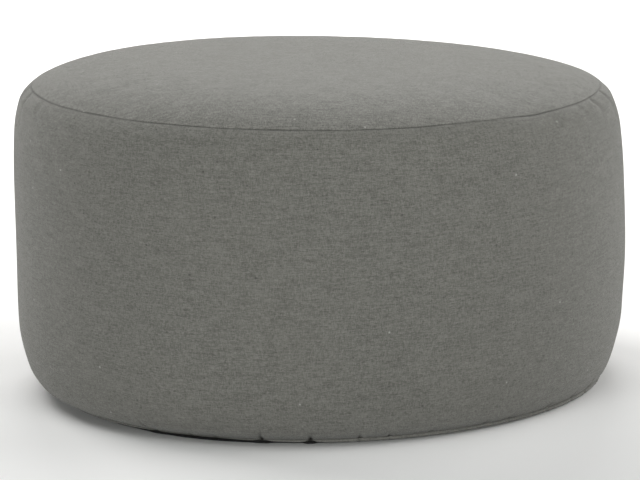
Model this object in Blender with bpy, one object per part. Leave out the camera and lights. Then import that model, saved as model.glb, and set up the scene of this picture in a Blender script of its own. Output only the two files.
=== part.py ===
"""A round, low, filled outdoor ottoman: a crowned top panel, a tall side band and a black base cloth.

Metres, +Z up. The origin is on the floor under the middle and the front is at -Y. Angles are in degrees from
the front, growing toward +X. The three cloths meet at two seams that run all the way round. The filled body
is divided at those seams, so that each panel holds the filling behind it.
"""

import bmesh
import bpy
import numpy as np

# Overall form
HALF_WIDTH = 0.375
TOP_SEAM_HEIGHT = 0.3698
TOP_SEAM_SLANT = 0.0061       # the soft body leans: its top seam is this much lower at the right end
CROWN_RISE = 0.0308
CROWN_FULLNESS = 0.61         # power of the crown: 0.5 is a half ellipse, 1 a parabola
CROWN_LEAN = 0.30             # the crown is fuller by this share at the left rim and flatter at the right rim
FOOT_OVAL = 0.0064            # the foot stands out this far at the front left and draws in at the front right

# Outline of the side band from the stitched line at its foot to the top seam
BAND_OUTLINE = (
    # share of the height, radius as a share of half the width, drift of the ring toward +X
    (0.00, 0.895, 0.0090),
    (0.03, 0.940, 0.0010),
    (0.10, 0.972, -0.0018),
    (0.22, 0.994, -0.0018),
    (0.45, 1.000, 0.0000),
    (0.70, 0.998, -0.0009),
    (0.86, 0.990, -0.0017),
    (0.96, 0.966, -0.0024),
    (1.00, 0.929, -0.0027),
)
BAND_ROWS = 21                # rows of faces between the two seams, closer together near each seam
CROWN_ROWS = 12               # rows of faces from the top seam to the middle, closer together near the seam
CROWN_COLUMNS = 108
SEAM_DEPTH = 0.0010           # how far both cloths are pulled in at the top seam

# Hem below the stitched line, standing around the base cloth
HEM_HEIGHT = 0.0044
HEM_SLANT = 0.0008            # the hem is this much taller at the right end
HEM_THICKNESS = 0.0024
HEM_ROLL = 0.0005             # how far the hem's fullest part stands out from the foot
HEM_ROUNDING = 0.0004         # its lower edge is this much thinner on each side
HEM_CLEARANCE = 0.0004        # its lower edge stays this far above the floor
STITCH_DEPTH = 0.0010
FRONT_LIFT = 0.0010           # the hem rides up at the front left and shows the base cloth
FRONT_LIFT_ANGLE = -20.0
FRONT_LIFT_WIDTH = 22.0
MOST_LIFT = 0.0030

# Puckers where the band is drawn in to its foot
FRONT_PUCKERS = (
    # angle, depth, height of the crease, lift of the hem
    (-36.4, 0.0022, 0.014, 0.0008),
    (-28.3, 0.0012, 0.008, 0.0008),
    (-23.4, 0.0014, 0.009, 0.0008),
    (-13.1, 0.0030, 0.016, 0.0020),
    (-3.6, 0.0030, 0.015, 0.0022),
    (6.1, 0.0014, 0.009, 0.0002),
    (12.1, 0.0008, 0.007, 0.0000),
)
PUCKER_SPACING = 9.5          # all the others are about this far apart, within the ranges below
PUCKER_UNEVENNESS = 0.25
PUCKER_DEPTHS = (0.0008, 0.0024)
PUCKER_HEIGHTS = (0.007, 0.014)
PUCKER_LIFTS = (0.0, 0.0006)
PUCKER_HALF_WIDTH = 0.006
PUCKER_SEED = 8
LIFT_SPREAD = 1.6             # the hem's lift is this much wider than the pucker above it
GATHER_DEPTH = 0.0008         # the same creases start again, more softly, under the top seam
GATHER_REACH = 0.018

# Base cloth
BASE_THICKNESS = 0.0022
GAP = 0.0003                  # between one cloth and the next

CLOTH_COLOUR = (0.20, 0.197, 0.178, 1.0)
BASE_COLOUR = (0.008, 0.008, 0.009, 1.0)


def smooth_through(place, knots, values):
    """Cubic pieces through the knots, with slopes that never let the curve overshoot them."""
    knots = np.asarray(knots)
    values = np.asarray(values)
    step = np.diff(knots)
    chord = np.diff(values) / step
    slope = np.zeros(len(knots))
    turning = chord[:-1] * chord[1:] <= 0
    both = np.where(turning, 1.0, chord[:-1] + chord[1:])
    slope[1:-1] = np.where(turning, 0.0, 2 * chord[:-1] * chord[1:] / both)
    slope[0] = ((2 * step[0] + step[1]) * chord[0] - step[0] * chord[1]) / (step[0] + step[1])
    slope[-1] = ((2 * step[-1] + step[-2]) * chord[-1] - step[-1] * chord[-2]) / (step[-1] + step[-2])
    piece = np.clip(np.searchsorted(knots, place) - 1, 0, len(step) - 1)
    u = (place - knots[piece]) / step[piece]
    start = values[piece] * (1 + 2 * u) + step[piece] * slope[piece] * u
    end = values[piece + 1] * (3 - 2 * u) - step[piece] * slope[piece + 1] * (1 - u)
    return start * (1 - u) ** 2 + end * u ** 2


def all_puckers():
    """Rows of angle, depth, height and lift: the front ones, then evenly spaced ones with some unevenness."""
    draw = np.random.default_rng(PUCKER_SEED)
    front = np.array(FRONT_PUCKERS)
    first = front[-1, 0]
    span = front[0, 0] + 360 - first
    count = round(span / PUCKER_SPACING) - 1
    place = np.arange(1, count + 1) + draw.uniform(-PUCKER_UNEVENNESS, PUCKER_UNEVENNESS, count)
    sizes = [draw.uniform(*span_of, count) for span_of in (PUCKER_DEPTHS, PUCKER_HEIGHTS, PUCKER_LIFTS)]
    rest = np.stack([first + place * span / (count + 1), *sizes], axis=1)
    return np.concatenate([front, rest])


def pucker_columns(puckers):
    """Angles of the band's columns: on each pucker, on both its flanks, and halfway to the next one."""
    angle = puckers[:, 0]
    flank = np.degrees(PUCKER_HALF_WIDTH / HALF_WIDTH)
    following = np.append(angle[1:], angle[0] + 360)
    return np.stack([angle - flank, angle, angle + flank, (angle + following) / 2], axis=1).ravel()


def pinch(angle, puckers, width):
    """How strongly each pucker acts at each angle: a bell curve around its line, one column per pucker."""
    away = (angle[:, None] - puckers[None, :, 0] + 180) % 360 - 180
    return np.exp(-((np.radians(away) * HALF_WIDTH / width) ** 2))


def around(angle, radius, height, drift=0.0):
    """A ring of points from its radius and height at each angle, moved by its drift toward +X."""
    turn = np.radians(angle)
    return np.stack([radius * np.sin(turn) + drift, -radius * np.cos(turn), height + 0 * turn], axis=1)


def band_outline(share, angle):
    """Radius at each angle, and drift, of the band's ring at a share of the height between its two seams.

    The foot is a little oval: its radius falls by the sine of twice the angle, which fades with the height.
    """
    table = np.array(BAND_OUTLINE)
    radius = HALF_WIDTH * smooth_through(share, table[:, 0], table[:, 1])
    oval = FOOT_OVAL * (1 - share) ** 2 * np.sin(2 * np.radians(angle))
    return radius - oval, smooth_through(share, table[:, 0], table[:, 2])


def band_height(share, angle):
    """Height of the band's ring: even between the seams, plus the slant of the nearer seam."""
    slant = HEM_SLANT * (1 - share) ** 2 - TOP_SEAM_SLANT * share ** 2
    return HEM_HEIGHT + (TOP_SEAM_HEIGHT - HEM_HEIGHT) * share + slant * np.sin(np.radians(angle))


def closed_skin(name, rings, material):
    """A closed solid through rings listed from its underside to its top, with a flat face at each end."""
    bm = bmesh.new()
    rows = [[bm.verts.new(point) for point in ring] for ring in rings]
    for lower, upper in zip(rows[:-1], rows[1:]):
        for here in range(len(lower)):
            after = (here + 1) % len(lower)
            bm.faces.new((lower[here], lower[after], upper[after], upper[here]))
    bm.faces.new(rows[0][::-1])
    bm.faces.new(rows[-1])
    mesh = bpy.data.meshes.new(name)
    bm.to_mesh(mesh)
    bm.free()
    mesh.materials.append(material)
    mesh.shade_smooth()
    mesh.set_sharp_from_angle(angle=np.radians(40))
    solid = bpy.data.objects.new(name, mesh)
    bpy.context.collection.objects.link(solid)
    return solid


def make_top_panel(cloth):
    """The crowned round panel. Its height above the seam is the rise times (1 - share squared) to a power,
    times a lean that falls from the left rim to the right one.
    """
    angle = np.linspace(0, 360, CROWN_COLUMNS, endpoint=False)
    toward_right = np.sin(np.radians(angle))
    seam_radius, drift = band_outline(1.0, angle)
    slant = -TOP_SEAM_SLANT * toward_right / seam_radius
    floor = TOP_SEAM_HEIGHT + GAP / 2
    rim = seam_radius - SEAM_DEPTH
    rings = [around(angle, rim, floor + slant * rim, drift)]
    for share in np.cos(np.pi / 2 * np.arange(1, CROWN_ROWS) / CROWN_ROWS):
        radius = seam_radius * share
        lean = 1 - CROWN_LEAN * share * toward_right
        rise = CROWN_RISE * (1 - share ** 2) ** CROWN_FULLNESS * lean
        rings.append(around(angle, radius, floor + rise + slant * radius, drift))
    return closed_skin("top_panel", rings, cloth)


def hem_rings(angle, puckers):
    """The hem from its root on the underside, around its lower edge and its roll, up to the stitched line."""
    radius, drift = band_outline(0.0, angle)
    stitched = band_height(0.0, angle)
    raised = pinch(angle, puckers, LIFT_SPREAD * PUCKER_HALF_WIDTH) @ puckers[:, 3]
    from_front = (angle - FRONT_LIFT_ANGLE + 180) % 360 - 180
    lifted = raised + FRONT_LIFT * np.exp(-((from_front / FRONT_LIFT_WIDTH) ** 2))
    edge = HEM_CLEARANCE + np.minimum(lifted, MOST_LIFT)
    root = BASE_THICKNESS + GAP
    return [
        around(angle, radius - HEM_THICKNESS, root, drift),
        around(angle, radius - HEM_THICKNESS + HEM_ROUNDING, edge, drift),
        around(angle, radius - HEM_ROUNDING, edge, drift),
        around(angle, radius + HEM_ROLL, (edge + stitched) / 2, drift),
        around(angle, radius - STITCH_DEPTH, stitched, drift),
    ]


def make_side_band(cloth, puckers):
    """The band: its hem, the foot drawn in by puckers, full sides, and the shoulder drawn in by gathers."""
    angle = pucker_columns(puckers)
    crease = pinch(angle, puckers, PUCKER_HALF_WIDTH)
    height_range = TOP_SEAM_HEIGHT - HEM_HEIGHT
    rings = hem_rings(angle, puckers)
    for share in 0.5 - 0.5 * np.cos(np.pi * np.arange(1, BAND_ROWS) / BAND_ROWS):
        radius, drift = band_outline(share, angle)
        above_foot = share * height_range
        below_seam = (1 - share) * height_range
        fade = np.exp(-((above_foot / puckers[:, 2]) ** 2))
        drawn_in = crease @ (puckers[:, 1] * fade)
        gathered = GATHER_DEPTH * crease.sum(axis=1) * np.exp(-((below_seam / GATHER_REACH) ** 2))
        rings.append(around(angle, radius - drawn_in - gathered, band_height(share, angle), drift))
    seam_radius, drift = band_outline(1.0, angle)
    rim = seam_radius - SEAM_DEPTH
    slant = -TOP_SEAM_SLANT * np.sin(np.radians(angle)) * rim / seam_radius
    rings.append(around(angle, rim, TOP_SEAM_HEIGHT - GAP / 2 + slant, drift))
    return closed_skin("side_band", rings, cloth)


def make_base_panel(cloth, puckers):
    """The flat base cloth inside the hem, on the floor."""
    angle = pucker_columns(puckers)
    radius, drift = band_outline(0.0, angle)
    edge = radius - HEM_THICKNESS - GAP
    rings = [around(angle, edge, 0.0, drift), around(angle, edge, BASE_THICKNESS, drift)]
    return closed_skin("base_panel", rings, cloth)


def make_cloth(name, colour, roughness):
    """A plain matt cloth."""
    material = bpy.data.materials.new(name)
    material.use_nodes = True
    finish = material.node_tree.nodes["Principled BSDF"]
    finish.inputs["Base Color"].default_value = colour
    finish.inputs["Roughness"].default_value = roughness
    finish.inputs["Metallic"].default_value = 0.0
    return material


def main():
    for leftover in list(bpy.data.objects):
        bpy.data.objects.remove(leftover)
    puckers = all_puckers()
    make_top_panel(make_cloth("top_cloth", CLOTH_COLOUR, 0.95))
    make_side_band(make_cloth("band_cloth", CLOTH_COLOUR, 0.95), puckers)
    make_base_panel(make_cloth("base_cloth", BASE_COLOUR, 0.9), puckers)


main()
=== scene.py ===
"""Looks of the round outdoor ottoman: its two filled covers, base cloth, sewing, light and camera.

Each cloth is a grid worked out with numpy from two parameters: the angle around the ottoman, in degrees
from the front toward the right, and the way along the cloth from one edge to the other. Each stitch is a
tube carried along a short arch. Lengths are in metres.
"""

import bpy
import numpy as np
from mathutils import Matrix, Vector


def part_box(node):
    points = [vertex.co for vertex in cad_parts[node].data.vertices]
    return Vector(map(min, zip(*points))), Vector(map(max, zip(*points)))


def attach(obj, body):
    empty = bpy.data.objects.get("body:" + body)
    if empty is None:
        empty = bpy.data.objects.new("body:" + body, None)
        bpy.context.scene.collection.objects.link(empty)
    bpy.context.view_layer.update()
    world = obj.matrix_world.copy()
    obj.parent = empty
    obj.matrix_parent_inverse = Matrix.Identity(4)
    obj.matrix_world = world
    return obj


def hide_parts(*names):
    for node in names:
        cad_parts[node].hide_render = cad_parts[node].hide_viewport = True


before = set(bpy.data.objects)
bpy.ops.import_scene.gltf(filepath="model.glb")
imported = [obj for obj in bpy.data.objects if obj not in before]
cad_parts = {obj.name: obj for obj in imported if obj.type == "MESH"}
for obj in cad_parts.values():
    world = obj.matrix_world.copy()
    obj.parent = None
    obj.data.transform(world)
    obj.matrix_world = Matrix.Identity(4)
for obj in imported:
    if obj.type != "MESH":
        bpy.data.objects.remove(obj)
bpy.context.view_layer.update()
BAND_LOW, BAND_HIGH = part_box("side_band")

# Driving sizes, from the frame where it has them
HALF_WIDTH = (BAND_HIGH.x - BAND_LOW.x) / 2
BASE_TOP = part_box("base_panel")[1].z
GAP = 0.0003
TOP_SEAM_SLANT = 0.0061
TOP_SEAM_DROP = 0.0008
TOP_SEAM_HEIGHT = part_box("top_panel")[0].z + TOP_SEAM_SLANT - TOP_SEAM_DROP
CROWN_RISE = 0.0274
CROWN_ROUNDNESS = 5.5
CROWN_FULLNESS = 0.92
CROWN_LEAN = 0.21
CROWN_FORWARD = 0.18
FOOT_OVAL = 0.0064
HEM_HEIGHT = 0.0050
HEM_SLANT = 0.0008
HEM_THICKNESS = 0.0024
HEM_ROLL = 0.0012
HEM_CLEARANCE = 0.0004
# Where the hem lifts, the black base cloth's edge stands out by up to this much, so that its black shows in
# the gap under the hem as painted shade; the next value is the lift over which it comes out fully
BASE_SHOWING = 0.0034
BASE_SHOWING_RUN = 0.0012
STITCH_DEPTH = 0.0006
STITCH_VALLEY_WIDTH = 0.0011
SEAM_DEPTH = 0.0014
SEAM_WIDTH = 0.0009

# The join down the back: a valley with a low fold on both sides
JOIN_DEPTH = 0.0009
JOIN_HALF_WIDTH = 0.0016
JOIN_FOLD = 0.0004
JOIN_FOLD_PLACE = 0.006
JOIN_FOLD_WIDTH = 0.003

# How the top seam wanders up and down as it was sewn: angle in degrees and height in metres
SEAM_WANDER = (
    (-180, 0.0), (-100, 0.0), (20, 0.0), (25, 0.0008), (29, 0.0012), (35, 0.0012), (38, 0.0010),
    (41, 0.0002), (44, -0.0010), (47, -0.0018), (51, -0.0012), (57, -0.0008), (66, -0.0006),
    (73, 0.0001), (84, 0.0005), (100, 0.0), (180, 0.0),
)

# Outline of the side band from the stitched line at its foot to the top seam
BAND_OUTLINE = (
    # share of the height, radius as a share of half the width, drift of the ring toward +X
    (0.00, 0.895, 0.0090),
    (0.03, 0.940, 0.0010),
    (0.10, 0.972, -0.0018),
    (0.22, 0.994, -0.0018),
    (0.45, 1.000, 0.0000),
    (0.70, 0.998, -0.0009),
    (0.86, 0.990, -0.0017),
    (0.96, 0.966, -0.0024),
    (1.00, 0.929, -0.0027),
)

# Puckers at the foot that show at the front; the others follow within the ranges below
FRONT_PUCKERS = (
    # angle, depth, height of the crease, lift of the hem, degrees that the crease leans toward its top
    (-36.9, 0.0044, 0.012, 0.0010, -0.8),
    (-28.7, 0.0030, 0.008, 0.0008, 0.2),
    (-23.5, 0.0030, 0.007, 0.0008, 0.3),
    (-13.9, 0.0048, 0.015, 0.0026, 0.5),
    (-4.3, 0.0046, 0.011, 0.0030, 0.2),
    (5.4, 0.0036, 0.010, 0.0002, 0.0),
    (11.4, 0.0020, 0.007, 0.0000, 0.0),
)
PUCKER_SPACING = 9.5
PUCKER_UNEVENNESS = 0.25
PUCKER_DEPTHS = (0.0014, 0.0044)
PUCKER_HEIGHTS = (0.006, 0.012)
PUCKER_LIFTS = (0.0, 0.0006)
PUCKER_LEANS = (-1.2, 1.2)
PUCKER_SEED = 8
PUCKER_HALF_WIDTH = 0.0024
PUCKER_NARROWING = -0.0012
LIFT_HALF_WIDTH = 0.0080
FRONT_LIFT = 0.0031
FRONT_LIFT_ANGLE = -27.0
FRONT_LIFT_WIDTH = 21.0
MOST_LIFT = 0.0039
SWELL = 0.0012
SWELL_PLACE = 0.006
SWELL_REACH = 0.014
FOLD_BESIDE_CREASE = 0.22

# Gathers under the top seam that show at both ends and faintly at the front
SHOWN_GATHERS = (
    # angle, depth, reach down the band, degrees that the crease leans toward its foot
    (-86.0, 0.0026, 0.036, 1.0),
    (-79.0, 0.0022, 0.032, 1.5),
    (-68.0, 0.0012, 0.024, 1.0),
    (-35.2, 0.0005, 0.014, -0.4),
    (61.5, 0.0010, 0.022, 1.5),
    (69.0, 0.0016, 0.028, 1.8),
    (79.0, 0.0022, 0.036, 1.2),
)

# Small tucks close under the top seam at the front
TUCKS = (
    # angle, depth, reach down the band, degrees that the tuck leans toward its foot
    (-42.2, 0.0011, 0.012, 0.5),
    (-17.2, 0.0009, 0.010, 0.1),
    (-15.0, 0.0010, 0.012, 0.2),
    (-13.2, 0.0007, 0.010, 0.1),
    (2.7, 0.0007, 0.009, 0.0),
    (36.1, 0.0010, 0.008, 0.4),
)
TUCK_HALF_WIDTH = 0.0020
TUCK_WIDENING = 0.0008

# The other gathers, along the arc at the back that the table leaves out
GATHER_ARC = (92.0, 268.0)
GATHER_SPACING = 6.0
GATHER_DEPTHS = (0.0004, 0.0016)
GATHER_REACHES = (0.012, 0.036)
GATHER_LEANS = (-2.0, 2.0)
GATHER_HALF_WIDTH = 0.0040
GATHER_WIDENING = 0.0045

# How far the top seam stands open along the side that shows: angle, and a share where one is plain sewing
SEAM_OPENING = (
    (-90.0, 1.2), (-73.0, 1.6), (-62.7, 1.1), (-53.2, 1.1), (-46.6, 1.7), (-41.9, 1.0), (-38.1, 0.9),
    (-33.4, 1.0), (-30.1, 1.4), (-26.9, 1.1), (-22.7, 1.3), (-20.1, 0.7), (-15.7, 1.0), (-10.6, 1.3),
    (-7.4, 1.7), (-3.7, 1.1),
    (-1.5, 0.7), (0.7, 1.0), (5.3, 0.25), (7.6, 0.4), (10.2, 1.0), (14.5, 0.8), (19.3, 1.2), (24.1, 1.3),
    (26.9, 0.45), (29.4, 0.8), (32.1, 0.5), (34.0, 0.4), (35.8, 0.05), (37.7, 0.4), (40.9, 1.4), (44.7, 2.0),
    (48.5, 1.9), (56.0, 1.5), (61.7, 1.6), (67.4, 1.3), (90.0, 1.0),
)

# The opening at which the covers are drawn neither in nor out, and its limits
EVEN_GAPE = 0.6
LEAST_GAPE = 0.05
MOST_GAPE = 2.0

# Soft unevenness: seed, size, numbers of waves around, pitch of the waves along
SEAM_WAVES = (31, 0.18, (43, 61, 89, 137), 1.0)
TOP_SOFTNESS = (5, 0.00022, (2, 3, 5, 7, 11), 0.30)
TOP_PULL = (6, 0.00016, (29, 41, 53, 67), 1.0)
BAND_SOFTNESS = (12, 0.00035, (2, 3, 4, 6, 9), 0.45)
BAND_FINE_SOFTNESS = (13, 0.00010, (17, 23, 31, 43), 0.20)

# Cloth beside the seams that the gathers and the unevenness leave plain
PLAIN_AT_SEAM = 0.002
PLAIN_AT_FOOT = 0.012

# Where painted shade and painted highlight go: the crease depth that is shaded darkest, and the lit roll
# beside the top seam
DARKEST_SHADE_DEPTH = 0.0030
HIGHLIGHT_PLACE = 0.0026
HIGHLIGHT_WIDTH = 0.0014

# Fineness of the grids
COLUMNS = 1180
CREASE_FINENESS = 2.6
CREASE_REACH = 0.0060
BAND_ROWS = 64
HEM_ROWS = 8
CROWN_COLUMNS = 540
CROWN_ROWS = 56
BASE_COLUMNS = 360

# Swelling of the filled cover by cloth simulation
SWELL_COLUMNS = 300
SWELL_BAND_ROWS = 40
SWELL_CROWN_ROWS = 36
SWELL_FRAMES = 20
SWELL_INSET = 0.0020
MOST_SWELL = 0.0060
EASE = 0.006
BROAD_WAVES = 5
KEPT_UNEVENNESS = 0.16
MOST_UNEVENNESS = 0.0004

# Sewing at the foot
STITCH_PITCH = 0.0036
STITCH_SHARE = 0.80
THREAD_RADIUS = 0.00026
STITCH_SECTIONS = 5
STITCH_SIDES = 6

# Camera and picture
PICTURE_WIDTH = 640
SENSOR_WIDTH = 36.0
FOCAL_PIXELS = 3636.6
CAMERA_DISTANCE = 4.5
CAMERA_ELEVATION = 11.5
CAMERA_ROLL = -1.15
CAMERA_AIM = (-0.0010, 0.0, 0.1718)

# Colours
YARN_DARK = (0.086, 0.085, 0.075, 1.0)
YARN_LIGHT = (0.228, 0.226, 0.206, 1.0)
YARN_FADED = (0.23, 0.22, 0.195, 1.0)
# Pale tint of the painted highlight on rolled edges
PAINTED_HIGHLIGHT = (0.35, 0.345, 0.32, 1.0)
DARK_KNOT = (0.03, 0.03, 0.028, 1.0)
LIGHT_KNOT = (0.6, 0.6, 0.57, 1.0)
# Dark tint of the painted shade in seams, creases and hidden undersides
PAINTED_SHADE = (0.035, 0.034, 0.028, 1.0)
BASE_DARK = (0.003, 0.003, 0.003, 1.0)
BASE_LIGHT = (0.010, 0.010, 0.011, 1.0)
BASE_DUST = (0.08, 0.078, 0.07, 1.0)
THREAD_DARK = (0.085, 0.083, 0.074, 1.0)
THREAD_LIGHT = (0.13, 0.128, 0.115, 1.0)


def smooth_through(place, knots, values):
    """Cubic pieces through the knots, with slopes that never let the curve overshoot them."""
    step = np.diff(knots)
    chord = np.diff(values) / step
    slope = np.zeros(len(knots))
    turning = chord[:-1] * chord[1:] <= 0
    both = np.where(turning, 1.0, chord[:-1] + chord[1:])
    slope[1:-1] = np.where(turning, 0.0, 2 * chord[:-1] * chord[1:] / both)
    slope[0] = ((2 * step[0] + step[1]) * chord[0] - step[0] * chord[1]) / (step[0] + step[1])
    slope[-1] = ((2 * step[-1] + step[-2]) * chord[-1] - step[-1] * chord[-2]) / (step[-1] + step[-2])
    piece = np.clip(np.searchsorted(knots, place) - 1, 0, len(step) - 1)
    u = (place - knots[piece]) / step[piece]
    start = values[piece] * (1 + 2 * u) + step[piece] * slope[piece] * u
    end = values[piece + 1] * (3 - 2 * u) - step[piece] * slope[piece + 1] * (1 - u)
    return start * (1 - u) ** 2 + end * u ** 2


def band_outline(share, angle):
    """Radius and drift of the band: the table's curve, less the foot's oval. The oval is the sine of twice
    the angle and fades with the square of the height left.
    """
    table = np.array(BAND_OUTLINE)
    radius = HALF_WIDTH * smooth_through(share, table[:, 0], table[:, 1])
    oval = FOOT_OVAL * (1 - share) ** 2 * np.sin(2 * np.radians(angle))
    return radius - oval, smooth_through(share, table[:, 0], table[:, 2])


def seam_height(share, angle):
    """Height of the sheet that the top seam spans: it slants down to the right by the sine of the angle, and
    its edge follows the seam's wander. share is the radius as a share of the seam's.
    """
    table = np.array(SEAM_WANDER)
    wander = smooth_through((angle + 180) % 360 - 180, table[:, 0], table[:, 1])
    return TOP_SEAM_HEIGHT - TOP_SEAM_SLANT * share * np.sin(np.radians(angle)) + wander * share ** 4


def band_height(share, angle):
    """Height of the band: even between the seams, plus the slant of the hem and the slant and wander of the
    top seam, each fading with the square of the way to the other seam.
    """
    even = HEM_HEIGHT + (TOP_SEAM_HEIGHT - HEM_HEIGHT) * share
    hem_slant = HEM_SLANT * np.sin(np.radians(angle))
    return even + hem_slant * (1 - share) ** 2 + (seam_height(1.0, angle) - TOP_SEAM_HEIGHT) * share ** 2


def around(angle, radius, height, drift=0.0):
    """Points from radius, height and angle, moved by a drift toward +X."""
    turn = np.radians(angle)
    x, y, z = np.broadcast_arrays(radius * np.sin(turn) + drift, -radius * np.cos(turn), height)
    return np.stack([x, y, z], axis=-1)


def apart(angle, line):
    """Distance along the band from each line, in metres: the turn between them times half the width."""
    return np.radians((angle - line + 180) % 360 - 180) * HALF_WIDTH


def bell(distance, width):
    """A bell curve: one on the line, falling off with the square of the distance."""
    return np.exp(-((distance / width) ** 2))


def turned_by_drift(angle, share):
    """Angles less the turn that the ring's drift gives them, so that a crease at the foot rises straight."""
    foot = band_outline(0.0, angle)[1]
    turn = (band_outline(share, angle)[1] - foot) * np.cos(np.radians(angle)) / HALF_WIDTH
    return angle + np.degrees(turn)


def all_puckers():
    """Rows of angle, depth, height, lift and lean: the front ones, then others at nearly even steps."""
    draw = np.random.default_rng(PUCKER_SEED)
    front = np.array(FRONT_PUCKERS)
    first = front[-1, 0]
    span = front[0, 0] + 360 - first
    count = round(span / PUCKER_SPACING) - 1
    place = np.arange(1, count + 1) + draw.uniform(-PUCKER_UNEVENNESS, PUCKER_UNEVENNESS, count)
    ranges = (PUCKER_DEPTHS, PUCKER_HEIGHTS, PUCKER_LIFTS, PUCKER_LEANS)
    sizes = [draw.uniform(*each, count) for each in ranges]
    rest = np.stack([first + place * span / (count + 1), *sizes], axis=1)
    return np.concatenate([front, rest])


def all_gathers():
    """Rows of angle, depth, reach and lean: the shown ones, then uneven ones along the arc at the back."""
    draw = np.random.default_rng(PUCKER_SEED + 1)
    count = round((GATHER_ARC[1] - GATHER_ARC[0]) / GATHER_SPACING)
    place = np.linspace(*GATHER_ARC, count) + draw.uniform(-0.35, 0.35, count) * GATHER_SPACING
    sizes = [draw.uniform(*each, count) for each in (GATHER_DEPTHS, GATHER_REACHES, GATHER_LEANS)]
    return np.concatenate([np.array(SHOWN_GATHERS), np.stack([place, *sizes], axis=1)])


PUCKERS = all_puckers()
GATHERS = all_gathers()


def creases(angle, away, table, half_width, widening):
    """Inward shift of a family of creases. Each is a bell across its line, and both its place and its width
    change with the way from the seam. It fades as a bell over its length, less a softer fold on both flanks.
    """
    total = np.zeros(np.broadcast(angle, away).shape)
    for line, depth, length, lean in table:
        run = away / length
        width = half_width + widening * np.minimum(run, 1.0)
        across = apart(angle, line + lean * run)
        flanks = FOLD_BESIDE_CREASE * bell(np.abs(across) - 2.4 * width, 1.3 * width)
        total = total + depth * (bell(across, width) - flanks) * np.exp(-run ** 2)
    return total


def hem_edge(angle):
    """Height of the hem's lower edge: its clearance, plus a broad bell at the front left and a bell at each
    pucker, which together are held to the most lift.
    """
    lifted = FRONT_LIFT * bell((angle - FRONT_LIFT_ANGLE + 180) % 360 - 180, FRONT_LIFT_WIDTH)
    for line, _, _, lift, _ in PUCKERS:
        lifted = lifted + lift * bell(apart(angle, line), LIFT_HALF_WIDTH)
    return HEM_CLEARANCE + np.minimum(lifted, MOST_LIFT)


def foot_creases(angle, away):
    """Inward shift of the foot at each angle and height above the stitched line."""
    return creases(angle, away, PUCKERS[:, [0, 1, 2, 4]], PUCKER_HALF_WIDTH, PUCKER_NARROWING)


def swell_between(angle):
    """Zero on each pucker and one halfway between two of them, as a half sine wave."""
    lines = np.sort((PUCKERS[:, 0] + 180) % 360 - 180)
    lines = np.concatenate([lines[-1:] - 360, lines, lines[:1] + 360])
    wrapped = (angle + 180) % 360 - 180
    after = np.searchsorted(lines, wrapped, side="right").clip(1, len(lines) - 1)
    return np.sin(np.pi * (wrapped - lines[after - 1]) / (lines[after] - lines[after - 1]))


def softness(angle, along, seed, size, turns, pitch):
    """Soft unevenness of a filled cloth: a sum of sine waves that close around the ottoman and drift along
    the cloth, each weaker by the square root of its number.
    """
    draw = np.random.default_rng(seed)
    total = 0.0
    for turn in turns:
        phase, tilt = draw.uniform(0, 2 * np.pi, 2)
        drifted = phase + 2 * np.pi * np.cos(tilt) * along / pitch
        total = total + np.sin(turn * np.radians(angle) + drifted) / np.sqrt(turn)
    return size * total


def seam_gape(angle):
    """How far the top seam stands open: the table's curve, which becomes one from 90 to 100 degrees on either
    side, plus the waves of uneven sewing.
    """
    table = np.array(SEAM_OPENING)
    wrapped = (angle + 180) % 360 - 180
    shown = smooth_through(np.clip(wrapped, table[0, 0], table[-1, 0]), table[:, 0], table[:, 1])
    behind = np.clip(np.abs(wrapped) / 10 - 9, 0, 1)
    gape = shown + (1 - shown) * behind + softness(angle, 0.0, *SEAM_WAVES)
    return np.clip(gape, LEAST_GAPE, MOST_GAPE)


def seam_valley_depth(gape):
    """How far both covers are drawn in at the top seam: in where it gapes, out a little where it closes."""
    return SEAM_DEPTH * (gape - EVEN_GAPE)


def seam_shade(away, gape):
    """Painted shade beside the top seam: a bell that grows wider and darker as the seam gapes."""
    return bell(away, SEAM_WIDTH * (0.6 + 0.4 * gape)) * np.clip(0.6 * gape - 0.1, 0, 1)


def lengths_along(points):
    """Length run along the cloth at each row, from the mean gap between neighbouring rows."""
    gaps = np.linalg.norm(np.diff(points, axis=0), axis=2).mean(axis=1)
    return np.concatenate([[0.0], np.cumsum(gaps)])


def ring_mesh(name, rows, poles):
    """A closed mesh through rings of points, from the lowest to the last, with a pole closing each end."""
    count, columns = rows.shape[:2]
    points = np.concatenate([poles[:1], rows.reshape(-1, 3), poles[1:]])
    index = 1 + np.arange(count * columns).reshape(count, columns)
    after = np.roll(index, -1, axis=1)
    quads = np.stack([index[:-1], after[:-1], after[1:], index[1:]], axis=-1).reshape(-1, 4)
    low = np.stack([0 * index[0], after[0], index[0]], axis=-1)
    high = np.stack([index[-1], after[-1], 0 * index[-1] + len(points) - 1], axis=-1)
    mesh = bpy.data.meshes.new(name)
    mesh.from_pydata(points, [], quads.tolist() + low.tolist() + high.tolist())
    return mesh


def crown_height(share, angle):
    """Height of the crown: the rise times (1 - share to a power) to a power, times the lean to the left and
    the front, above the sheet that the seam spans. share is the radius as a share of the seam's.
    """
    toward_right = np.sin(np.radians(angle))
    lean = 1 - share * (CROWN_LEAN * toward_right - CROWN_FORWARD * np.cos(np.radians(angle)))
    rise = CROWN_RISE * (1 - share ** CROWN_ROUNDNESS) ** CROWN_FULLNESS * lean
    return seam_height(share, angle) + rise


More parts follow.
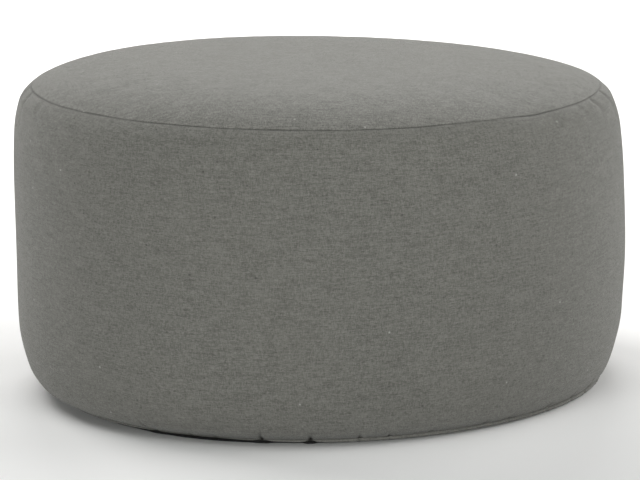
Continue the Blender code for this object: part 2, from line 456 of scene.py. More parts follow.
def blown_up(rows, held):
    """Blender's cloth simulation of a closed cover with the filling's pressure inside it and the held rings
    sewn fast. Gives the points where the cloth has moved to after the last frame.
    """
    poles = rows[[0, -1]].mean(axis=1)
    mesh = ring_mesh("cover before filling", rows, poles)
    cover = bpy.data.objects.new("cover before filling", mesh)
    bpy.context.collection.objects.link(cover)
    columns = rows.shape[1]
    sewn = cover.vertex_groups.new(name="sewn")
    fast = (1 + np.array(held)[:, None] * columns + np.arange(columns)).ravel()
    sewn.add([0] + fast.tolist(), 1.0, "REPLACE")
    cloth = cover.modifiers.new("filling", "CLOTH")
    fabric = cloth.settings
    fabric.quality = 5
    fabric.mass = 0.3
    fabric.tension_stiffness = 60
    fabric.compression_stiffness = 60
    fabric.shear_stiffness = 20
    fabric.bending_stiffness = 0.8
    fabric.shrink_min = -EASE
    fabric.use_pressure = True
    fabric.uniform_pressure_force = 4.0
    fabric.vertex_group_mass = "sewn"
    fabric.effector_weights.gravity = 0
    cloth.collision_settings.use_collision = False
    for step in range(1, SWELL_FRAMES + 1):
        bpy.context.scene.frame_set(step)
    at_rest = cover.evaluated_get(bpy.context.evaluated_depsgraph_get())
    found = np.empty(3 * len(mesh.vertices), dtype=np.float32)
    at_rest.data.vertices.foreach_get("co", found)
    bpy.data.objects.remove(cover)
    bpy.data.meshes.remove(mesh)
    bpy.context.scene.frame_set(1)
    return found.reshape(-1, 3)[1:-1].reshape(rows.shape).astype(float)


def cloth_unevenness():
    """What the filling's pressure does to the cover beyond its fitted outline, in metres outward, for a
    coarse grid of the band and one of the crown. The start is a little smaller, and the swelling is held to
    its limit. The broadest waves around are taken off, and a share of the rest is kept, held softly to its
    own limit.
    """
    angle = ring_angles(SWELL_COLUMNS)[None, :]
    share = np.linspace(0, 1, SWELL_BAND_ROWS + 1)[:, None]
    radius, drift = band_outline(share, angle)
    radius = radius - SWELL_INSET * np.sin(np.pi * share) ** 0.5
    band = around(angle, radius, band_height(share, angle), drift)
    part = np.linspace(1, 0, SWELL_CROWN_ROWS + 1)[1:-1][:, None]
    seam_radius, seam_drift = band_outline(1.0, angle)
    crown_start = crown_height(part, angle) - SWELL_INSET * (1 - part)
    crown = around(angle, seam_radius * part, crown_start, seam_drift)
    start = np.concatenate([band, crown])
    shift = blown_up(start, (0, SWELL_BAND_ROWS)) - start
    size = np.linalg.norm(shift, axis=2, keepdims=True)
    shift = shift * np.minimum(1, MOST_SWELL / np.maximum(size, 1e-9))
    around_ring = np.roll(start, -1, axis=1) - np.roll(start, 1, axis=1)
    facing = np.cross(around_ring, np.gradient(start, axis=0))
    facing = facing / np.linalg.norm(facing, axis=2, keepdims=True)
    waves = np.fft.rfft((shift * facing).sum(axis=2), axis=1)
    waves[:, :BROAD_WAVES] = 0
    uneven = KEPT_UNEVENNESS * np.fft.irfft(waves, n=SWELL_COLUMNS, axis=1)
    uneven = MOST_UNEVENNESS * np.tanh(uneven / MOST_UNEVENNESS)
    return uneven[:SWELL_BAND_ROWS + 1], uneven[SWELL_BAND_ROWS + 1:]


def spline_weights(place):
    """Shares of the four entries around a place, by the cubic B-spline."""
    t = place - np.floor(place)
    second = (4 - 6 * t ** 2 + 3 * t ** 3) / 6
    third = (1 + 3 * t + 3 * t ** 2 - 3 * t ** 3) / 6
    return (1 - t) ** 3 / 6, second, third, t ** 3 / 6


def softly_read(table, row, angle):
    """A coarse table of rings read between its entries, closed around the columns."""
    column = (angle + 180) / 360 * table.shape[1]
    first_row, first_column = np.floor(row).astype(int) - 1, np.floor(column).astype(int) - 1
    total = 0.0
    for i, row_share in enumerate(spline_weights(row)):
        for j, column_share in enumerate(spline_weights(column)):
            entry = table[np.clip(first_row + i, 0, len(table) - 1), (first_column + j) % table.shape[1]]
            total = total + row_share * column_share * entry
    return total


def closed_cover(name, rows, places, poles, pressed, highlit, finish):
    """A finished piece from rings of points and two poles. places are the flat cloth's coordinates in metres,
    with one column more than the ring. pressed is how deep in a seam or crease each point lies, which sets
    its painted shade, and the argument after it is how much painted highlight each ring gets.
    """
    mesh = ring_mesh(name, rows, poles)
    here, there = places[:, :-1], places[:, 1:]
    quad_places = np.stack([here[:-1], there[:-1], there[1:], here[1:]], axis=-2)
    low_pole = np.broadcast_to(here[0].mean(axis=0), here[0].shape)
    high_pole = np.broadcast_to(here[-1].mean(axis=0), here[-1].shape)
    low_places = np.stack([low_pole, there[0], here[0]], axis=-2)
    high_places = np.stack([here[-1], there[-1], high_pole], axis=-2)
    flat = np.concatenate([part.ravel() for part in (quad_places, low_places, high_places)])
    mesh.uv_layers.new(name="cloth").data.foreach_set("uv", flat)
    # Mask of painted shade, per point
    depth = np.concatenate([pressed[0, :1], pressed.ravel(), pressed[-1, :1]])
    mesh.attributes.new("pressed", "FLOAT", "POINT").data.foreach_set("value", depth)
    # Amount of painted highlight, per ring
    highlit_points = np.concatenate([[0.0], np.repeat(highlit, rows.shape[1]), [0.0]])
    mesh.attributes.new("highlit", "FLOAT", "POINT").data.foreach_set("value", highlit_points)
    mesh.materials.append(finish)
    mesh.shade_smooth()
    piece = bpy.data.objects.new(name, mesh)
    bpy.context.collection.objects.link(piece)
    return piece


def ring_angles(columns):
    """Angles of a grid's columns, from the back round the left, the front and the right to the back again."""
    return np.linspace(-180, 180, columns, endpoint=False)


def crowded_angles(columns):
    """Angles of a grid's columns that stand closer together at the creases: equal steps of the running total
    of one plus a bell at each crease.
    """
    even = ring_angles(40 * columns)
    crowding = np.ones(even.size)
    for line in np.concatenate([PUCKERS[:, 0], GATHERS[:, 0], np.array(TUCKS)[:, 0]]):
        crowding = crowding + CREASE_FINENESS * bell(apart(even, line), CREASE_REACH)
    total = np.cumsum(crowding)
    return np.interp(np.arange(columns) * total[-1] / columns, total - total[0], even)


def with_last_column(values):
    """The row of angles with the back repeated at its end, so that the flat cloth has two edges there."""
    return np.append(values, 180.0)


def make_top_cover(finish, uneven):
    """The top panel, filled: rings at a share of the seam's radius and at the crown's height, with the
    cloth's own unevenness added upward. Close to the seam the radius follows the seam's valley.
    """
    angle = ring_angles(CROWN_COLUMNS)[None, :]
    seam_radius, drift = band_outline(1.0, angle)
    share = np.cos(np.pi / 2 * np.linspace(0, 1, CROWN_ROWS + 1)[:-1])[:, None]
    gape = seam_gape(angle)
    rim = 1 - seam_valley_depth(gape) / seam_radius
    radius = seam_radius * share * (1 - (1 - rim) * share ** 60)
    inside = 1 - share ** 8
    soft = softness(angle, share * HALF_WIDTH, *TOP_SOFTNESS) * share * inside
    pulled = softness(angle, 0.0, *TOP_PULL) * share ** 14 * inside
    ripple = softly_read(uneven, (1 - share) * SWELL_CROWN_ROWS - 1 + 0 * angle, angle + 0 * share)
    ripple = ripple * (1 - share ** 40) * np.minimum(share * 3, 1)
    floor = TOP_SEAM_HEIGHT + GAP / 2
    height = crown_height(share, angle) + GAP / 2 + soft + pulled + ripple
    crown = around(angle, radius, height, drift)
    under_radius = crown_radius_under(seam_radius, rim)
    under = []
    for part in (0.35, 0.8, 1.0):
        part_radius = under_radius * part
        part_height = seam_height(part_radius / seam_radius, angle) + GAP / 2
        under.append(around(angle, part_radius, part_height, drift))
    rows = np.concatenate([np.concatenate(under), crown])
    along = lengths_along(crown)
    reach = along[-1] - along + radius[-1].mean()
    full = with_last_column(angle[0])[None, :]
    outward = np.concatenate([np.full(3, reach[0]), reach])[:, None]
    places = np.stack([outward * np.sin(np.radians(full)), -outward * np.cos(np.radians(full))], axis=-1)
    # Painted shade beside the top seam and over the whole underside
    pressed = seam_shade(reach[0] - reach[:, None], gape)
    pressed = np.concatenate([np.ones((3, angle.size)), pressed])
    poles = np.array([[drift, 0, floor], [drift, 0, floor + CROWN_RISE]], dtype=float)
    # Painted highlight on the roll just inside the seam
    highlit = np.concatenate([np.zeros(3), 0.2 * bell(reach[0] - reach - HIGHLIGHT_PLACE, HIGHLIGHT_WIDTH)])
    return closed_cover("top_cover", rows, places, poles, pressed, highlit, finish)


def crown_radius_under(seam_radius, rim):
    """Radius of the top cover's flat underside: just inside its rim."""
    return seam_radius * rim - GAP


def hem_rows(angle):
    """The hem's rings: its root, its inner wall, its rounded lower edge, and its outer face up to the
    stitched line. The outer face stands out by a half sine wave, to a power, from its edge to that line.
    """
    radius, drift = band_outline(0.0, angle)
    stitched = band_height(0.0, angle)
    edge = hem_edge(angle)
    drawn_in = foot_creases(angle, 0.0 * angle)
    outer = radius - 0.55 * drawn_in
    inner = outer - HEM_THICKNESS
    root = BASE_TOP + GAP
    inside = radius - HEM_THICKNESS
    rings = [
        around(angle, 0.4 * inside, root, drift),
        around(angle, inside - 0.002, root, drift),
        around(angle, inside - 0.0002, root + 0.0001, drift),
        around(angle, np.minimum(inner + 0.0002, inside), (root + edge) / 2 + 0.0001, drift),
        around(angle, np.minimum(inner + 0.0003, inside), edge + 0.0003, drift),
        around(angle, outer - 0.0011, edge, drift),
    ]
    for step in np.linspace(0.04, 0.96, HEM_ROWS):
        wave = np.sin(np.pi * step) ** 0.6
        stand = -0.0004 + (HEM_ROLL + 0.0004) * wave - STITCH_DEPTH * step ** 6
        rings.append(around(angle, outer + stand, edge + (stitched - edge) * step, drift))
    return rings


def make_band_cover(finish, uneven):
    """The side band, filled: the table's outline, less the foot's puckers, the gathers and tucks under the
    top seam, both seams' valleys and the join down the back, plus the swelling between puckers and the
    unevenness.
    """
    angle = crowded_angles(COLUMNS)[None, :]
    share = (0.5 - 0.5 * np.cos(np.pi * np.arange(BAND_ROWS + 1) / BAND_ROWS))[:, None]
    radius, drift = band_outline(share, angle)
    height = band_height(share, angle)
    from_foot = lengths_along(around(angle, radius, height, drift))[:, None]
    from_seam = from_foot[-1] - from_foot
    gape = seam_gape(angle)
    middle = np.sin(np.pi * share) ** 0.5
    drawn_in = foot_creases(turned_by_drift(angle, share), share * (TOP_SEAM_HEIGHT - HEM_HEIGHT))
    gathered = creases(angle, from_seam, GATHERS, GATHER_HALF_WIDTH, GATHER_WIDENING)
    gathered = gathered + creases(angle, from_seam, TUCKS, TUCK_HALF_WIDTH, TUCK_WIDENING)
    gathered = gathered * (1 - bell(from_seam, PLAIN_AT_SEAM))
    swell = SWELL * swell_between(angle) * bell(from_foot - SWELL_PLACE, SWELL_REACH)
    stitch_valley = STITCH_DEPTH * bell(from_foot, STITCH_VALLEY_WIDTH)
    seam_valley = seam_valley_depth(gape) * bell(from_seam, 1.6 * SEAM_WIDTH)
    join = apart(angle, 180.0) + 0 * share
    join_folds = JOIN_FOLD * bell(np.abs(join) - JOIN_FOLD_PLACE, JOIN_FOLD_WIDTH)
    join_valley = JOIN_DEPTH * bell(join, JOIN_HALF_WIDTH) - join_folds
    soft = softness(angle, from_foot, *BAND_SOFTNESS) * middle
    fine = softness(angle, from_foot, *BAND_FINE_SOFTNESS) * middle
    ripple = softly_read(uneven, share * SWELL_BAND_ROWS + 0 * angle, angle + 0 * share)
    ripple = ripple * (1 - bell(from_foot, PLAIN_AT_FOOT)) * (1 - bell(from_seam, PLAIN_AT_SEAM))
    inward = drawn_in + gathered + stitch_valley + seam_valley + join_valley * middle
    inward = inward - swell - soft - fine - ripple
    band = around(angle, radius - inward, height, drift)
    hem = hem_rows(angle)
    seam_radius, top_drift = band_outline(1.0, angle)
    lid_height = TOP_SEAM_HEIGHT - GAP / 2
    lid = []
    for part in (1.0, 0.8, 0.35):
        lid_radius = (seam_radius - seam_valley_depth(gape) - 0.0002) * part
        part_height = seam_height(lid_radius / seam_radius, angle) - GAP / 2
        lid.append(around(angle, lid_radius, part_height, top_drift))
    rows = np.concatenate([np.concatenate(hem), band[:-1], np.concatenate(lid)])
    along = lengths_along(rows)[:, None]
    full = with_last_column(angle[0])[None, :]
    places = np.stack(np.broadcast_arrays(np.radians(full) * HALF_WIDTH, along), axis=-1)
    # Painted shade: darkest in deep creases, and beside the top seam, along the stitched line and the join,
    # on the hem's underside and on the lid under the top cover
    deep = np.clip((drawn_in + gathered) / DARKEST_SHADE_DEPTH, 0, 1) * 0.4
    pressed = np.maximum(deep, seam_shade(from_seam, gape))
    pressed = np.maximum(pressed, 0.4 * bell(from_foot, 0.0010))
    pressed = np.maximum(pressed, 0.5 * bell(join, 0.0008))
    hem_pressed = np.zeros((len(hem), angle.size))
    hem_pressed[:5] = 0.8
    hem_pressed[-1] = 0.35
    pressed = np.concatenate([hem_pressed, pressed[:-1], np.ones((len(lid), angle.size))])
    foot_drift = float(np.ravel(band_outline(0.0, 0.0)[1])[0])
    lid_drift = float(np.ravel(top_drift)[0])
    poles = np.array([[foot_drift, 0, BASE_TOP + GAP], [lid_drift, 0, lid_height]])
    # Painted highlight on the hem's outer face and on the roll under the top seam
    hem_highlight = np.concatenate([np.zeros(6), np.sin(np.pi * np.linspace(0.04, 0.96, HEM_ROWS))])
    roll_highlight = 0.12 * bell(from_seam[:-1, 0] - HIGHLIGHT_PLACE, HIGHLIGHT_WIDTH)
    highlit = np.concatenate([hem_highlight, roll_highlight, np.zeros(len(lid))])
    return closed_cover("band_cover", rows, places, poles, pressed, highlit, finish)


def make_base_cover(finish):
    """The base cloth and its radius at each angle: a flat disc as thick as the frame's, with a bevelled edge
    inside the hem. Where the hem lifts clear of it, the edge stands farther out, so that its black shows in
    the gap under the hem as painted shade.
    """
    angle = ring_angles(BASE_COLUMNS)[None, :]
    radius, drift = band_outline(0.0, angle)
    clear = np.clip((hem_edge(angle) - BASE_TOP) / BASE_SHOWING_RUN, 0, 1)
    edge = radius - HEM_THICKNESS - 2 * GAP + BASE_SHOWING * clear
    profile = ((0.5, 0.0, 0.0), (1.0, -0.0004, 0.0), (1.0, 0.0, 0.0006), (1.0, 0.0, BASE_TOP - 0.0006),
               (1.0, -0.0004, BASE_TOP), (0.5, 0.0, BASE_TOP))
    rings = [around(angle, edge * part + inset, height, drift) for part, inset, height in profile]
    rows = np.concatenate(rings)
    full = with_last_column(angle[0])
    across = np.array([0.5, 1.0, 1.0, 1.0, 1.0, 0.5])[:, None] * float(edge.mean())
    places = np.stack([across * np.sin(np.radians(full)), -across * np.cos(np.radians(full))], axis=-1)
    middle = float(np.ravel(drift)[0])
    poles = np.array([[middle, 0, 0.0], [middle, 0, BASE_TOP]])
    pressed = np.zeros(rows.shape[:2])
    return closed_cover("base_cover", rows, places, poles, pressed, np.zeros(len(rows)), finish), edge


def make_stitches(finish):
    """The row of stitches at the foot. Each is a short tube along the stitched line that arches out of the
    cloth by a half sine wave and dips into it at both ends.
    """
    radius, drift = band_outline(0.0, 0.0)
    count = round(2 * np.pi * float(radius) / STITCH_PITCH)
    middle = (np.arange(count) * 360 / count - 180)[:, None]
    step = np.linspace(-1, 1, STITCH_SECTIONS)[None, :]
    angle = middle + step * STITCH_SHARE * 180 / count
    ring_radius, drift = band_outline(0.0, angle)
    sunk = STITCH_DEPTH + foot_creases(angle, 0.0 * angle)
    arch = 2.2 * THREAD_RADIUS * np.cos(np.pi / 2 * step) - 1.2 * THREAD_RADIUS
    line = ring_radius - sunk + arch
    height = band_height(0.0, angle)
    turn = np.linspace(0, 2 * np.pi, STITCH_SIDES, endpoint=False)
    swing = THREAD_RADIUS * (0.55 + 0.45 * np.cos(np.pi / 2 * step))[..., None]
    tube_radius = line[..., None] + swing * np.cos(turn)
    tube_height = height[..., None] + swing * np.sin(turn)
    points = around(angle[..., None], tube_radius, tube_height, drift)
    index = np.arange(points[..., 0].size).reshape(points.shape[:3])
    after = np.roll(index, -1, axis=2)
    sides = np.stack([index[:, :-1], index[:, 1:], after[:, 1:], after[:, :-1]], axis=-1).reshape(-1, 4)
    starts = index[:, 0]
    ends = index[:, -1, ::-1]
    mesh = bpy.data.meshes.new("hem_stitches")
    mesh.from_pydata(points.reshape(-1, 3), [], sides.tolist() + starts.tolist() + ends.tolist())
    mesh.materials.append(finish)
    mesh.shade_smooth()
    piece = bpy.data.objects.new("hem_stitches", mesh)
    bpy.context.collection.objects.link(piece)
    return piece


def feed(tree, value, socket):
    """Link another node's socket, or set a constant."""
    if isinstance(value, bpy.types.NodeSocket):
        tree.links.new(value, socket)
    else:
        socket.default_value = value


def maths(tree, operation, *values):
    """One Math node and its result."""
    node = tree.nodes.new("ShaderNodeMath")
    node.operation = operation
    for value, socket in zip(values, node.inputs):
        feed(tree, value, socket)
    return node.outputs[0]


def blend_values(tree, share, first, second):
    """first + share * (second - first)."""
    return maths(tree, "MULTIPLY_ADD", share, maths(tree, "SUBTRACT", second, first), first)


def blend_colours(tree, share, first, second, way="MIX"):
    """One colour Mix node and its result."""
    node = tree.nodes.new("ShaderNodeMix")
    node.data_type = "RGBA"
    node.blend_type = way
    feed(tree, share, node.inputs["Factor"])
    feed(tree, first, node.inputs[6])
    feed(tree, second, node.inputs[7])
    return node.outputs[2]


def place_at(tree, x, y):
    """A vector from two values."""
    node = tree.nodes.new("ShaderNodeCombineXYZ")
    feed(tree, x, node.inputs[0])
    feed(tree, y, node.inputs[1])
    return node.outputs[0]


def noise(tree, place, scale, detail=1.0, roughness=0.5):
    """A noise value around one half."""
    node = tree.nodes.new("ShaderNodeTexNoise")
    node.noise_dimensions = "2D"
    feed(tree, place, node.inputs["Vector"])
    feed(tree, scale, node.inputs["Scale"])
    feed(tree, detail, node.inputs["Detail"])
    feed(tree, roughness, node.inputs["Roughness"])
    return node.outputs[0]


def spread(tree, value, low, high):
    """The value's range from low to high, stretched to zero to one and held there."""
    node = tree.nodes.new("ShaderNodeMapRange")
    feed(tree, value, node.inputs[0])
    feed(tree, low, node.inputs[1])
    feed(tree, high, node.inputs[2])
    return node.outputs[0]


def new_group(name, inputs, outputs):
    """An empty shader node group with named sockets, and its input and output nodes."""
    group = bpy.data.node_groups.new(name, "ShaderNodeTree")
    for label, value in inputs:
        kind = "NodeSocketVector" if value is None else "NodeSocketFloat"
        socket = group.interface.new_socket(name=label, in_out="INPUT", socket_type=kind)
        if value is not None:
            socket.default_value = value
    for label in outputs:
        group.interface.new_socket(name=label, in_out="OUTPUT", socket_type="NodeSocketFloat")
    return group, group.nodes.new("NodeGroupInput"), group.nodes.new("NodeGroupOutput")


def split_place(tree, place):
    """The two flat coordinates of a place on the cloth."""
    node = tree.nodes.new("ShaderNodeSeparateXYZ")
    feed(tree, place, node.inputs[0])
    return node.outputs[0], node.outputs[1]


def weave_group():
    """Plain weave of melange yarns. Tone is each visible yarn's own lightness, which changes along it in
    flecks. Height is the round back of the yarn that passes over, a half sine wave across it.
    """
    group, given, result = new_group(
        "Plain weave", [("Place", None), ("Yarn pitch", 0.0008), ("Fleck length", 0.006)], ["Tone", "Height"])
    across, along = split_place(group, given.outputs["Place"])
    pitch, fleck = given.outputs["Yarn pitch"], given.outputs["Fleck length"]
    wobble = noise(group, given.outputs["Place"], 160.0)
    warp_place = maths(group, "ADD", maths(group, "DIVIDE", across, pitch), wobble)
    weft_place = maths(group, "SUBTRACT", maths(group, "DIVIDE", along, pitch), wobble)
    warp_yarn, weft_yarn = maths(group, "FLOOR", warp_place), maths(group, "FLOOR", weft_place)
    turn = maths(group, "PINGPONG", maths(group, "ADD", warp_yarn, weft_yarn), 1.0)
    warp_back = maths(group, "SINE", maths(group, "MULTIPLY", maths(group, "FRACT", warp_place), np.pi))
    weft_back = maths(group, "SINE", maths(group, "MULTIPLY", maths(group, "FRACT", weft_place), np.pi))
    warp_over = maths(group, "MULTIPLY", warp_back, maths(group, "MULTIPLY_ADD", weft_back, 0.4, 0.6))
    weft_over = maths(group, "MULTIPLY", weft_back, maths(group, "MULTIPLY_ADD", warp_back, 0.4, 0.6))
    feed(group, blend_values(group, turn, warp_over, weft_over), result.inputs["Height"])
    weft_flecks = noise(group, place_at(
        group, maths(group, "DIVIDE", across, fleck), maths(group, "MULTIPLY", weft_yarn, 5.77)), 1.0)
    warp_flecks = noise(group, place_at(
        group, maths(group, "MULTIPLY", warp_yarn, 7.31), maths(group, "DIVIDE", along, fleck)), 1.0)
    feed(group, blend_values(group, turn, warp_flecks, weft_flecks), result.inputs["Tone"])
    return group


def slub_group():
    """Irregularities of spun yarn. Slubs are long thin flecks of thicker yarn along the weft. Streaks are
    longer runs of lighter and darker yarn, mixed with broad clouds. Dark and Light are rare small knots.
    """
    group, given, result = new_group(
        "Slubs and knots", [("Place", None), ("Knot spacing", 0.1), ("Knot size", 0.0018)],
        ["Slubs", "Streaks", "Dark", "Light"])
    across, along = split_place(group, given.outputs["Place"])
    short = place_at(group, maths(group, "MULTIPLY", across, 290.0), maths(group, "MULTIPLY", along, 1500.0))
    long = place_at(group, maths(group, "MULTIPLY", across, 75.0), maths(group, "MULTIPLY", along, 1150.0))
    mixed = blend_values(group, 0.45, noise(group, short, 1.0, 1.0), noise(group, long, 1.0, 1.0))
    feed(group, mixed, result.inputs["Slubs"])
    run = place_at(group, maths(group, "MULTIPLY", across, 30.0), maths(group, "MULTIPLY", along, 420.0))
    cloud = place_at(group, maths(group, "MULTIPLY", across, 34.0), maths(group, "MULTIPLY", along, 70.0))
    streaks = blend_values(group, 0.35, noise(group, run, 1.0, 1.0), noise(group, cloud, 1.0, 2.0))
    feed(group, streaks, result.inputs["Streaks"])
    knots = group.nodes.new("ShaderNodeTexVoronoi")
    knots.voronoi_dimensions = "2D"
    feed(group, given.outputs["Place"], knots.inputs["Vector"])
    feed(group, maths(group, "DIVIDE", 1.0, given.outputs["Knot spacing"]), knots.inputs["Scale"])
    distance = maths(group, "MULTIPLY", knots.outputs["Distance"], given.outputs["Knot spacing"])
    spot = maths(group, "SUBTRACT", 1.0, spread(group, distance, 0.0, given.outputs["Knot size"]))
    channels = group.nodes.new("ShaderNodeSeparateColor")
    feed(group, knots.outputs["Color"], channels.inputs[0])
    is_light = maths(group, "GREATER_THAN", channels.outputs[0], 0.62)
    feed(group, maths(group, "MULTIPLY", spot, is_light), result.inputs["Light"])
    is_dark = maths(group, "SUBTRACT", 1.0, is_light)
    feed(group, maths(group, "MULTIPLY", spot, is_dark), result.inputs["Dark"])
    return group


def dust_and_light_group():
    """Weather and painted light. Painted shade darkens the cloth where it is pressed in, with a patchy grain;
    Painted highlight lightens rolled edges, broken by grain; and Faded is a cloudy loss of colour.
    """
    group, given, result = new_group(
        "Dust and painted light", [("Place", None), ("Pressed", 0.0), ("Worn", 0.0), ("Cloud size", 0.16)],
        ["Settled", "Painted highlight", "Faded"])
    cloud_scale = maths(group, "DIVIDE", 1.0, given.outputs["Cloud size"])
    clouds = noise(group, given.outputs["Place"], cloud_scale, 3.0)
    feed(group, spread(group, clouds, 0.3, 0.7), result.inputs["Faded"])
    grain = spread(group, noise(group, given.outputs["Place"], 420.0, 2.0), 0.25, 0.75)
    patchy = maths(group, "MULTIPLY_ADD", grain, 0.4, 0.6)
    # Painted shade: darker where the cloth is pressed in, made patchy by the grain
    shade_mask = maths(group, "MULTIPLY", given.outputs["Pressed"], patchy)
    feed(group, shade_mask, result.inputs["Settled"])
    # Painted highlight: lighter on rolled edges, broken by the grain
    broken = maths(group, "MULTIPLY_ADD", grain, 0.7, 0.3)
    feed(group, maths(group, "MULTIPLY", given.outputs["Worn"], broken), result.inputs["Painted highlight"])
    return group


def place_group(tree, group, **values):
    """A group node with its inputs fed by name; a space in a name is written as an underscore."""
    node = tree.nodes.new("ShaderNodeGroup")
    node.node_tree = group
    for label, value in values.items():
        feed(tree, value, node.inputs[label.replace("_", " ")])
    return node.outputs


def cloth_place(tree):
    """The piece's own flat cloth coordinates, in metres."""
    node = tree.nodes.new("ShaderNodeUVMap")
    node.uv_map = "cloth"
    return node.outputs[0]


def own_attribute(tree, name):
    """A value that the piece's own mesh carries."""
    node = tree.nodes.new("ShaderNodeAttribute")
    node.attribute_name = name
    return node.outputs["Fac"]


def new_finish(name, roughness, specular, sheen):
    """A Principled material with its plain constants set on its own sockets."""
    finish = bpy.data.materials.new(name)
    finish.use_nodes = True
    tree = finish.node_tree
    surface = tree.nodes["Principled BSDF"]
    surface.inputs["Roughness"].default_value = roughness
    surface.inputs["Specular IOR Level"].default_value = specular
    surface.inputs["Sheen Weight"].default_value = sheen
    surface.inputs["Sheen Roughness"].default_value = 0.45
    return finish, tree, surface


def raise_surface(tree, height, distance, surface):
    """Bump from a height in shares of a distance."""
    node = tree.nodes.new("ShaderNodeBump")
    node.inputs["Distance"].default_value = distance
    feed(tree, height, node.inputs["Height"])
    tree.links.new(node.outputs[0], surface.inputs["Normal"])


def make_melange_cloth(name, groups, contrast, streakiness):
    """The outdoor cloth: yarn tones from dark to light, then fading, a painted highlight on rolled edges,
    knots and painted shade in creases, seams and hidden undersides over them.
    contrast is half the range of tones that is stretched to the full one, and streakiness is how strongly
    the streaks are added.
    """
    finish, tree, surface = new_finish(name, 0.92, 0.25, 0.22)
    place = cloth_place(tree)
    weave = place_group(tree, groups["weave"], Place=place, Yarn_pitch=0.0008, Fleck_length=0.0055)
    slubs = place_group(tree, groups["slubs"], Place=place, Knot_spacing=0.085, Knot_size=0.0018)
    pressed, highlit = own_attribute(tree, "pressed"), own_attribute(tree, "highlit")
    dust_and_light = place_group(tree, groups["dust_and_light"], Place=place, Pressed=pressed, Worn=highlit, Cloud_size=0.14)
    tone = blend_values(tree, 0.35, weave["Tone"], slubs["Slubs"])
    streaks = maths(tree, "MULTIPLY_ADD", slubs["Streaks"], streakiness, -0.5 * streakiness)
    tone = maths(tree, "ADD", tone, streaks)
    tone = spread(tree, tone, 0.5 - contrast, 0.5 + contrast)
    colour = blend_colours(tree, tone, YARN_DARK, YARN_LIGHT)
    faded = maths(tree, "MULTIPLY", dust_and_light["Faded"], 0.06)
    colour = blend_colours(tree, faded, colour, YARN_FADED)
    # Painted highlight on rolled edges and painted shade in seams, creases and undersides go over the colour
    # with the knots
    over = ((dust_and_light["Painted highlight"], 0.5, PAINTED_HIGHLIGHT), (slubs["Dark"], 0.75, DARK_KNOT),
            (slubs["Light"], 0.6, LIGHT_KNOT), (dust_and_light["Settled"], 0.9, PAINTED_SHADE))
    for mask, share, tint in over:
        colour = blend_colours(tree, maths(tree, "MULTIPLY", mask, share), colour, tint)
    tree.links.new(colour, surface.inputs["Base Color"])
    height = maths(tree, "ADD", weave["Height"], maths(tree, "MULTIPLY", slubs["Slubs"], 0.9))
    raise_surface(tree, height, 0.00016, surface)
    rough = maths(tree, "MULTIPLY_ADD", weave["Height"], -0.08, 0.95)
    tree.links.new(rough, surface.inputs["Roughness"])
    return finish


def make_base_cloth(groups):
    """The black base cloth: a flat fine weave, greyed a little by grime."""
    finish, tree, surface = new_finish("black base cloth", 0.8, 0.3, 0.0)
    place = cloth_place(tree)
    weave = place_group(tree, groups["weave"], Place=place, Yarn_pitch=0.0006, Fleck_length=0.004)
    dust_and_light = place_group(tree, groups["dust_and_light"], Place=place, Pressed=0.3, Cloud_size=0.09)
    colour = blend_colours(tree, weave["Tone"], BASE_DARK, BASE_LIGHT)
    greyed = maths(tree, "MULTIPLY", dust_and_light["Faded"], 0.05)
    colour = blend_colours(tree, greyed, colour, BASE_DUST)
    tree.links.new(colour, surface.inputs["Base Color"])
    raise_surface(tree, weave["Height"], 0.0001, surface)
    return finish


def make_thread(groups):
    """The sewing thread: grey like the cloth, its tone uneven along the seam."""
    finish, tree, surface = new_finish("sewing thread", 0.6, 0.4, 0.0)
    node = tree.nodes.new("ShaderNodeTexCoord")
    dust_and_light = place_group(tree, groups["dust_and_light"], Place=node.outputs["Object"], Pressed=0.5, Cloud_size=0.01)
    colour = blend_colours(tree, dust_and_light["Faded"], THREAD_DARK, THREAD_LIGHT)
    tree.links.new(colour, surface.inputs["Base Color"])
    return finish


def make_floor():
    """A plain pale floor."""
    mesh = bpy.data.meshes.new("studio_floor")
    half = 9.0
    corners = [(-half, -half, 0), (half, -half, 0), (half, half, 0), (-half, half, 0)]
    mesh.from_pydata(corners, [], [(0, 1, 2, 3)])
    finish, _, surface = new_finish("pale floor", 0.9, 0.1, 0.0)
    surface.inputs["Base Color"].default_value = (0.86, 0.86, 0.86, 1.0)
    mesh.materials.append(finish)
    floor = bpy.data.objects.new("studio_floor", mesh)
    floor.location.z = -0.0004
    bpy.context.collection.objects.link(floor)


def make_light(name, spot, target, width, power, colour):
    """A soft square light at a spot, facing a target."""
    data = bpy.data.lights.new(name, "AREA")
    data.size = width
    data.energy = power
    data.color = colour
    lamp = bpy.data.objects.new(name, data)
    toward = np.array(target, dtype=float) - np.array(spot, dtype=float)
    lamp.matrix_world = looking(spot, toward, 0.0)
    bpy.context.collection.objects.link(lamp)


def looking(spot, toward, roll):
    """The placing of a camera or lamp at a spot, facing along a direction, rolled by degrees about it."""
    back = -Vector([float(part) for part in toward]).normalized()
    level = Vector((0, 0, 1)) if abs(back.z) < 0.999 else Vector((0, 1, 0))
    right = level.cross(back).normalized()
    up = back.cross(right)
    turn = np.radians(roll)
    rolled_right = np.cos(turn) * right + np.sin(turn) * up
    rolled_up = np.cos(turn) * up - np.sin(turn) * right
    placing = Matrix((rolled_right, rolled_up, back)).transposed().to_4x4()
    placing.translation = Vector([float(part) for part in spot])
    return placing


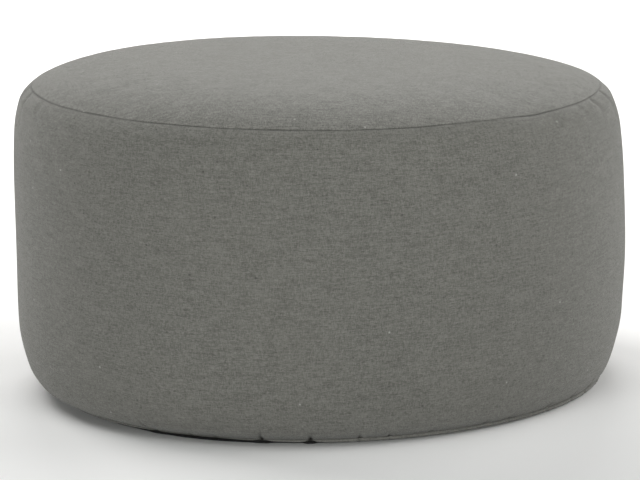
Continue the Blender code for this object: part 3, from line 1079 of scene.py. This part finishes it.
def make_lights():
    """Broad soft lights all around: the two strongest stand behind, in the middle and high at the left."""
    middle = (0.0, 0.0, 0.2)
    warm = (1.0, 0.99, 0.975)
    cool = (0.985, 1.0, 0.985)
    make_light("light behind", (0.0, 3.8, 2.2), middle, 2.4, 103.0, warm)
    make_light("high left light behind", (-2.4, 2.4, 3.0), middle, 2.0, 107.0, warm)
    make_light("high right light", (3.0, 0.0, 3.0), middle, 2.0, 50.0, warm)
    make_light("overhead light", (0.0, -1.2, 3.2), middle, 2.4, 38.0, cool)
    make_light("left light in front", (-3.2, -4.0, 1.1), middle, 2.0, 88.0, cool)
    make_light("right light in front", (3.2, -4.0, 1.1), middle, 2.0, 76.0, cool)
    make_light("left light behind", (-2.8, 2.4, 1.4), middle, 1.8, 12.0, warm)
    make_light("right light behind", (2.8, 2.4, 1.4), middle, 1.8, 46.0, warm)
    world = bpy.data.worlds.new("pale room")
    world.use_nodes = True
    backdrop = world.node_tree.nodes["Background"]
    backdrop.inputs["Color"].default_value = (1.0, 1.0, 1.0, 1.0)
    backdrop.inputs["Strength"].default_value = 0.01
    bpy.context.scene.world = world
    bpy.context.scene.view_settings.view_transform = "Standard"


def make_camera():
    """The photograph's view: a long lens, a little above the ottoman, rolled by about a degree."""
    turn = np.radians(CAMERA_ELEVATION)
    away = np.array([0.0, -np.cos(turn), np.sin(turn)]) * CAMERA_DISTANCE
    data = bpy.data.cameras.new("camera")
    data.sensor_width = SENSOR_WIDTH
    data.lens = FOCAL_PIXELS * SENSOR_WIDTH / PICTURE_WIDTH
    camera = bpy.data.objects.new("camera", data)
    camera.matrix_world = looking(np.array(CAMERA_AIM) + away, -away, CAMERA_ROLL)
    bpy.context.collection.objects.link(camera)
    bpy.context.scene.camera = camera


def make_ottoman():
    """All pieces, each riding on the one body and standing for its node."""
    groups = {"weave": weave_group(), "slubs": slub_group(), "dust_and_light": dust_and_light_group()}
    top_finish = make_melange_cloth("top melange cloth", groups, 0.14, 0.26)
    band_finish = make_melange_cloth("band melange cloth", groups, 0.19, 0.24)
    uneven_band, uneven_crown = cloth_unevenness()
    top = make_top_cover(top_finish, uneven_crown)
    band = make_band_cover(band_finish, uneven_band)
    base, base_edge = make_base_cover(make_base_cloth(groups))
    stitches = make_stitches(make_thread(groups))
    covers = (
        (top, "top_panel", "top_cloth"),
        (band, "side_band", "band_cloth"),
        (base, "base_panel", "base_cloth"),
    )
    for piece, node, slot in covers:
        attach(piece, "root")
        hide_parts(node)
    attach(stitches, "root")


make_camera()
make_ottoman()
make_floor()
make_lights()
